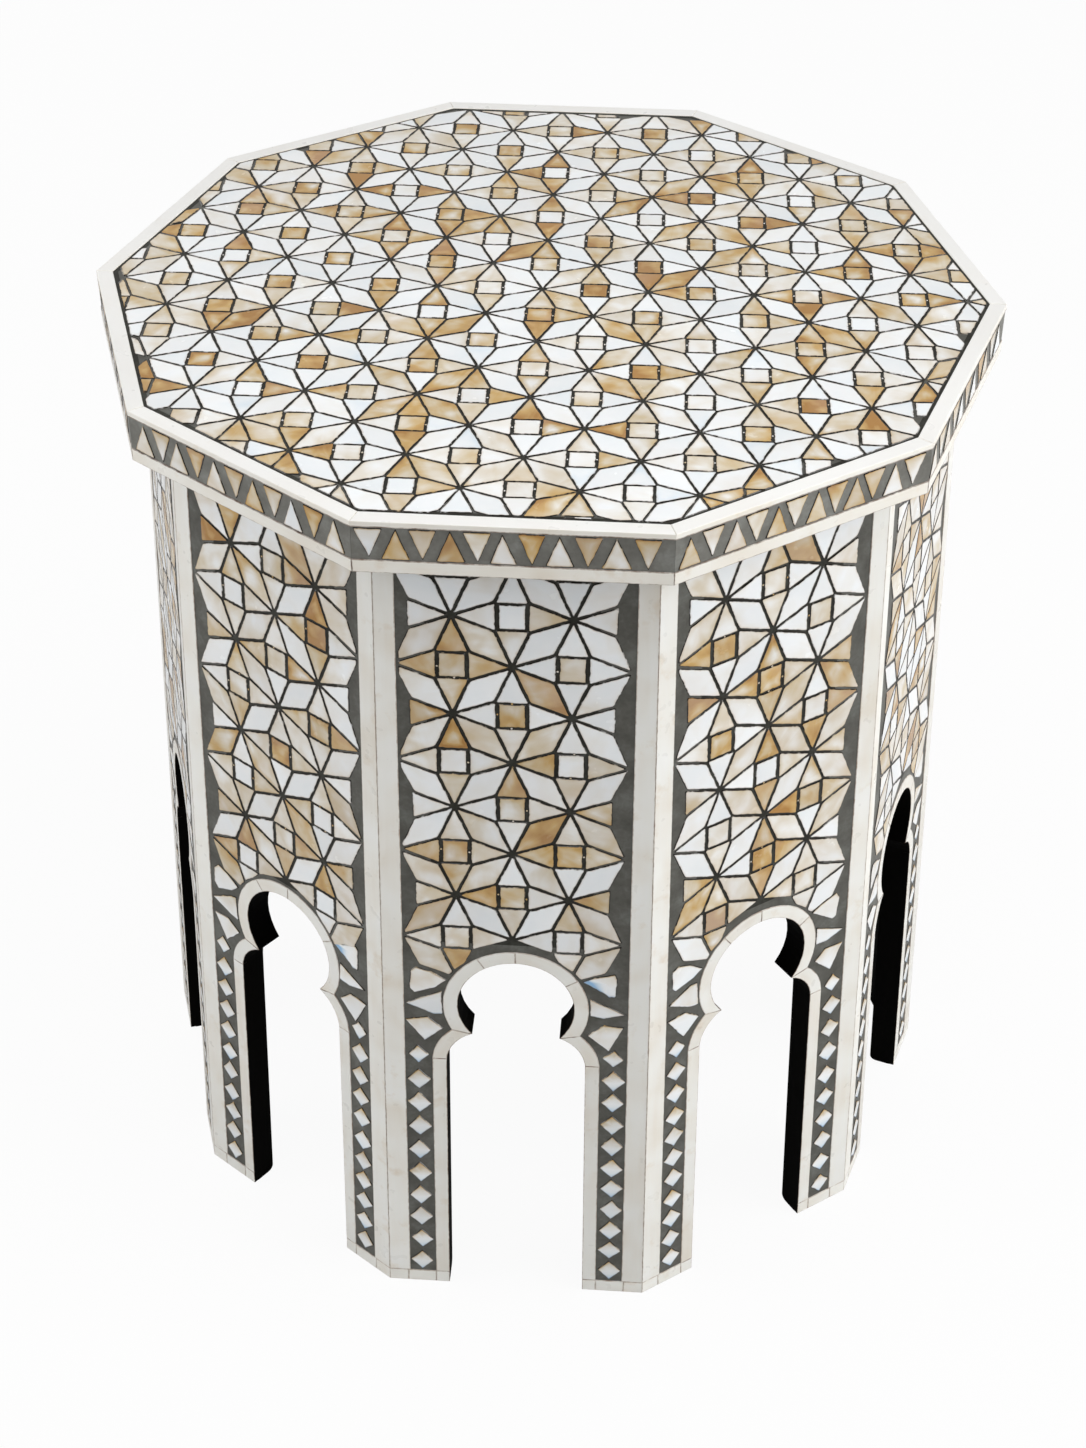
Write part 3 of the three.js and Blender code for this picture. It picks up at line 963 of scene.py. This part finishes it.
def shoulder_arc(grow, steps=7):
    cx, cv = cusp(grow)
    end = math.atan2(cv - SHOULDER_HEIGHT, cx - SHOULDER_CENTRE)
    return arc(SHOULDER_CENTRE, SHOULDER_HEIGHT, SHOULDER_RADIUS + grow, 0, end, steps)


def arch_start(grow):
    cx, cv = cusp(grow)
    return math.atan2(cv - ARCH_CENTRE, cx)


def panel_opening(grow):
    """The arch and leg gap from foot to foot, right side first."""
    right = [(gap_half(SKIN_CLEARANCE) + grow, SKIN_CLEARANCE)] + shoulder_arc(grow)
    start = arch_start(grow)
    over = arc(0, ARCH_CENTRE, ARCH_RADIUS + grow, start, math.pi - start, 26)[1:-1]
    return right + over + [(-x, v) for x, v in reversed(right)]


def swap_sides(outline):
    return [(-x, v) for x, v in reversed(outline)]


def lay_star_tiles(tiles, joints, face, side, dice):
    off_x, off_v = PANEL_SHIFT.get(side) or (dice.uniform(-1.6, 1.6), dice.uniform(-2.5, 2.0))
    half, low, high = PANEL_JOINTS_HALF, PANEL_ROW + off_v - 4, SLOPE - 2 * GLUE_GAP
    middle_joint = [(off_x - half, low), (off_x + half, low), (off_x + half, high), (off_x - half, high)]
    joints.piece(face, middle_joint, JOINT_RINGS, PIECE_DEPTH, dice)
    circle = ARCH_RADIUS + TRIM_WIDTH + 1.2
    slant = math.atan((field_half(0) - field_half(SLOPE)) / SLOPE)
    apart = (PANEL_APART[0] / PANEL_STEP_X, PANEL_APART[1] / PANEL_STEP_V)
    for kind, (i, j), corners in star_tiles((-3, -1), (3, 9), PANEL_SQUARE, apart):
        # three squares wide, and under the lowest row of squares only what lies beside the arch
        beside_arch = abs(i) > 1.4 or (kind == "point" and abs(i) > 0.9)
        if abs(i) > 1.6 or j < -0.6 or (j < -0.1 and not beside_arch):
            continue
        outline = [(x * PANEL_STEP_X + off_x, v * PANEL_STEP_V + PANEL_ROW + off_v) for x, v in corners]
        reach = (field_half(0) - 1.1) * math.cos(slant)
        clips = [(math.cos(slant), math.sin(slant), reach), (-math.cos(slant), math.sin(slant), reach),
                 (0, 1, SLOPE - 1.0)]
        cx, cv = middle_of(outline)
        away = math.hypot(cx, cv - ARCH_CENTRE)
        nx, nv = cx / away, (cv - ARCH_CENTRE) / away
        clips.append((-nx, -nv, -(circle + nv * ARCH_CENTRE)))
        lay_tile(tiles, face, kind, outline, PANEL_GROUT, dice, PANEL_SHARES,
                 lambda nx, nv: max(abs(nx), abs(nv)) > 0.97, clips, PANEL_LEAST, PANEL_WARM_BOUNCE)
        # chips, but none in the lowest and the topmost row
        if kind == "square" and 1 <= j <= 7:
            for dx, dv in ((1, 0), (-1, 0), (0, 1), (0, -1)):
                if dice.random() < PANEL_CHIP_CHANCE:
                    along = dice.uniform(-0.06, 0.06)
                    x = i + dx * PANEL_SQUARE[0] + dv * along
                    v = j + dv * PANEL_SQUARE[1] + dx * along
                    lay_chip(tiles, face, x * PANEL_STEP_X + off_x, v * PANEL_STEP_V + PANEL_ROW + off_v,
                             dice, PANEL_CHIP_PALEST)


def lay_arch_tiles(tiles, face, dice):
    for outline in ARCH_TILES_LEFT + ARCH_TILES_RIGHT:
        shaken = [(x + dice.uniform(-0.6, 0.6), v + dice.uniform(-0.6, 0.6)) for x, v in outline]
        grown = moved_in(turned_anticlockwise(shaken), -0.45)
        lay_painted_reflection_tile(tiles, face, grown, dice, dice.uniform(0.0, 0.25), dice.uniform(0.05, 0.3))


def lay_painted_reflection_tile(tiles, face, outline, dice, base, tilt):
    """A tile painted with a reflection: golden at its top, where it catches warm light, bluish white at its
    foot.
    """
    cut = hand_cut(outline, dice, wobble=0.12, step=3.5, corner=0.35)
    tiles.piece(face, cut, TILE_RINGS, PIECE_DEPTH, dice, heart=deepest_point(outline),
                warm=painted_reflection_warmth(outline, base, tilt, edge_reflection=0.6))


DIAMOND_ROWS = ((10, 183), (11, 186), (11, 187.5))    # how many in a leg, and the top one's height
DIAMOND_LOW = 18.8                                    # the lowest one's height
DIAMOND_WIDE, DIAMOND_TALL = (6.7, 7.1), (7.6, 8.2)   # least and most of half its width and height
TOP_DIAMOND = 0.86                                    # how much smaller the top one is


def lay_diamonds(tiles, face, sign, dice):
    count, top = dice.choice(DIAMOND_ROWS)
    for k in range(count):
        v = DIAMOND_LOW + (top - DIAMOND_LOW) * k / (count - 1) + dice.uniform(-0.6, 0.6)
        middle = sign * ((gap_half(v) + TRIM_WIDTH + field_half(v)) / 2 + 0.3) + dice.uniform(-0.3, 0.3)
        small = TOP_DIAMOND if k == count - 1 else 1.0
        wide, tall = dice.uniform(*DIAMOND_WIDE) * small, dice.uniform(*DIAMOND_TALL) * small
        left, right = v + dice.uniform(-0.8, 0.8), v + dice.uniform(-0.8, 0.8)
        tip = middle + dice.uniform(-0.6, 0.6)
        outline = [(middle, v - tall), (middle + wide, right), (middle + wide * 0.48, v + tall * 0.48),
                   (tip, v + tall), (middle - wide * 0.48, v + tall * 0.48), (middle - wide, left)]
        lay_painted_reflection_tile(tiles, face, outline, dice, dice.uniform(0.0, 0.2), dice.uniform(0.4, 0.6))


RIGHT_DULL = 0.08        # how much darker the bone at a panel's right edge is drawn
TRIM_DULL = 0.05         # and that of the trim round the opening


def lay_bone(strips, face, dice):
    """Trim lengths round the arch, corner strips and foot blocks, each with its own grain."""
    def bone(outline, along, painted=None, dull=0.0):
        strips.piece(face, outline, BONE_RINGS, INLAY + GLUE_GAP, dice, along=along, clamp=MITRE_AT_POSTS,
                     warm=lambda x, v: float(near_opening(x, v)), black=painted, dull=dull)

    inner_start, outer_start = arch_start(0), arch_start(TRIM_WIDTH)
    for sign in (1, -1):
        turn_over = (lambda o: o) if sign > 0 else swap_sides

        def on_opening(p, q):
            return all(near_opening(sign * x, v) for x, v in (p, q))

        low, high = FOOT_STRIP_HEIGHT + JOINT, SHOULDER_HEIGHT + 1.5
        # corner strip
        bone(turn_over([(field_half(low), low), (panel_half(low), low),
                        (panel_half(SLOPE), SLOPE - GLUE_GAP), (field_half(SLOPE), SLOPE - GLUE_GAP)]),
             math.pi / 2, dull=RIGHT_DULL if sign > 0 else 0)
        # leg length of the trim
        bone(turn_over([(gap_half(low), low), (gap_half(low) + TRIM_WIDTH, low),
                        (gap_half(high) + TRIM_WIDTH, high), (gap_half(high), high)]),
             math.pi / 2, on_opening, dull=TRIM_DULL)
        # shoulder
        inner, outer = shoulder_arc(0), shoulder_arc(TRIM_WIDTH)
        inner[0] = (gap_half(high), high + JOINT)
        outer[0] = (gap_half(high) + TRIM_WIDTH, high + JOINT)
        bone(turn_over(outer + inner[::-1]), 2.1 if sign > 0 else 1.04, on_opening, dull=TRIM_DULL)
        # foot blocks
        foot, head = SKIN_CLEARANCE, FOOT_STRIP_HEIGHT
        cuts = (gap_half(foot), gap_half(foot) + TRIM_WIDTH, field_half(foot) + 1, panel_half(foot))
        for left, right in zip(cuts, cuts[1:]):
            start = left + (JOINT if left > cuts[0] else 0)
            bone(turn_over([(start, foot), (right, foot), (right, head), (start, head)]), 0, on_opening)
    # lengths over the arch
    joints = [0, *(math.radians(90 + d + dice.uniform(-3, 3)) for d in (-58, -2, 34)), math.pi]
    for k, (start, end) in enumerate(zip(joints, joints[1:])):
        first, last = k == 0, k == len(joints) - 2
        a0, b0 = (inner_start, outer_start) if first else (start, start)
        a1, b1 = (math.pi - inner_start, math.pi - outer_start) if last else (end, end)
        shut = JOINT / 2 / ARCH_RADIUS
        steps = math.ceil((end - start) / ARC_STEP)
        inner = arc(0, ARCH_CENTRE, ARCH_RADIUS, a0 + shut, a1 - shut, steps)
        outer = arc(0, ARCH_CENTRE, ARCH_RADIUS + TRIM_WIDTH, b0 + shut, b1 - shut, steps)
        bone(outer + inner[::-1], (start + end) / 2 + math.pi / 2,
             lambda p, q: near_opening(*p) and near_opening(*q), dull=TRIM_DULL)


def near_opening(x, v):
    """Whether a point lies on the opening's edge, to within a hair."""
    hair = 0.15
    if v < SHOULDER_HEIGHT + 2 and abs(abs(x) - gap_half(v)) < hair:
        return True
    on_arch = abs(math.hypot(x, v - ARCH_CENTRE) - ARCH_RADIUS) < hair
    on_shoulder = abs(math.hypot(abs(x) - SHOULDER_CENTRE, v - SHOULDER_HEIGHT) - SHOULDER_RADIUS) < hair
    return on_arch or on_shoulder


def lay_resin(bed, face, dice):
    """The dark bed round the arch: a field above and a column down each leg."""
    low = FOOT_STRIP_HEIGHT + 0.1
    reach = TRIM_WIDTH - 0.1
    over = [p for p in panel_opening(reach) if p[1] > low]
    right_foot, left_foot = (gap_half(low) + reach, low), (-gap_half(low) - reach, low)
    outline = [left_foot, (-field_half(low) - 0.1, low), (-field_half(SLOPE) - 0.1, SLOPE - GLUE_GAP),
               (field_half(SLOPE) + 0.1, SLOPE - GLUE_GAP), (field_half(low) + 0.1, low), right_foot] + over
    bed.piece(face, outline, ((0, -RESIN_DEPTH),), INLAY, dice, along=0, clamp=MITRE_AT_POSTS)


def make_panel(side):
    dice = random.Random(100 + side)
    face, number = panel_face(side), f"{side:02d}"
    tiles, bed, joints, strips = (
        Inlay(f"side_{kind}_{number}") for kind in ("mosaic", "resin", "joints", "bone"))
    lay_star_tiles(tiles, joints, face, side, dice)
    lay_arch_tiles(tiles, face, dice)
    for sign in (-1, 1):
        lay_diamonds(tiles, face, sign, dice)
    lay_bone(strips, face, dice)
    lay_resin(bed, face, dice)
    tiles.build([PEARL], "pearl_mosaic", f"side_field_{number}")
    bed.build([RESIN], "pearl_mosaic")
    joints.build([JOINT_RESIN], "pearl_mosaic")
    strips.build([BONE, BLACK], "bone", f"arch_trim_{number}", f"corner_strip_{number}_left",
                 f"corner_strip_{number}_right")


for side in range(1, SIDES + 1):
    make_panel(side)


# The boards, as they are, in black paint with worn edges
WORN_EDGE = 0.4

for name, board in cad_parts.items():
    if name.startswith("side_board") or name == "top_board":
        board.data.materials.clear()
        board.data.materials.append(BLACK)
        worn = board.modifiers.new("worn_edges", "BEVEL")
        worn.width, worn.segments = WORN_EDGE * MM, 2
        worn.limit_method, worn.angle_limit = "ANGLE", math.radians(50)


# Pale floor and soft studio light
FLOOR_TONE = (0.78, 0.78, 0.78, 1)
FLOOR_WHITE = 0.94       # share of plain white that the camera sees on the floor; the rest holds the shadow
ROOM_LIGHT = 0.28
LAMPS = (                # each lamp's name, azimuth, elevation, distance, size and level
    ("overhead", -80, 80, 1.2, 0.7, 0.18), ("near_edge", -80, 68, 1.0, 0.5, 0.12),
    ("right_window", -12, 23, 2.4, 1.6, 0.75), ("left_window", -165, 22, 2.0, 1.1, 0.36),
    ("left_fill", -118, 20, 2.2, 1.2, 0.08), ("back_sheen", 96, 33, 2.4, 1.8, 0.08),
    ("back_right", 48, 14, 2.6, 1.4, 0.12), ("back_left", 132, 14, 2.6, 1.4, 0.12))


def make_floor():
    mesh = bpy.data.meshes.new("floor")
    reach = 6.0
    corners = [(-reach, -reach, 0), (reach, -reach, 0), (reach, reach, 0), (-reach, reach, 0)]
    mesh.from_pydata(corners, [], [(0, 1, 2, 3)])
    floor = bpy.data.objects.new("floor", mesh)
    bpy.context.scene.collection.objects.link(floor)
    material = bpy.data.materials.new("pale_floor")
    material.use_nodes = True
    tree = material.node_tree
    shader, output = tree.nodes["Principled BSDF"], tree.nodes["Material Output"]
    shader.inputs["Base Color"].default_value = FLOOR_TONE
    shader.inputs["Roughness"].default_value = 0.9
    shader.inputs["Specular IOR Level"].default_value = 0.1
    white = wire(tree, "ShaderNodeEmission", color=(1, 1, 1, 1), strength=1.0)
    seen = seen_by_camera(tree)
    mix = tree.nodes.new("ShaderNodeMixShader")
    tree.links.new(times(tree, seen, FLOOR_WHITE), mix.inputs[0])
    tree.links.new(shader.outputs[0], mix.inputs[1])
    tree.links.new(white.outputs[0], mix.inputs[2])
    tree.links.new(mix.outputs[0], output.inputs["Surface"])
    mesh.materials.append(material)


def soft_lamp(name, azimuth, elevation, distance, size, level):
    """A square lamp aimed at the table; level is the brightness it gives a white sheet that faces it."""
    lamp = bpy.data.lights.new(name, "AREA")
    lamp.shape, lamp.size = "SQUARE", size
    lamp.energy = level * math.pi ** 2 * distance ** 2
    made = bpy.data.objects.new(name, lamp)
    a, e = math.radians(azimuth), math.radians(elevation)
    away = Vector((math.cos(a) * math.cos(e), math.sin(a) * math.cos(e), math.sin(e)))
    aim = Vector((0, 0, 0.3))
    made.location = aim + away * distance
    made.rotation_euler = away.to_track_quat("Z", "Y").to_euler()
    bpy.context.scene.collection.objects.link(made)


def light_room():
    world = bpy.data.worlds.new("studio")
    bpy.context.scene.world = world
    world.use_nodes = True
    tree = world.node_tree
    background = tree.nodes["Background"]
    seen = seen_by_camera(tree)
    tree.links.new(plus(tree, ROOM_LIGHT, times(tree, seen, 1 - ROOM_LIGHT)),
                   background.inputs["Strength"])
    background.inputs["Color"].default_value = (1, 1, 1, 1)
    for lamp in LAMPS:
        soft_lamp(*lamp)


make_floor()
light_room()
bpy.context.scene.view_settings.view_transform = "Standard"
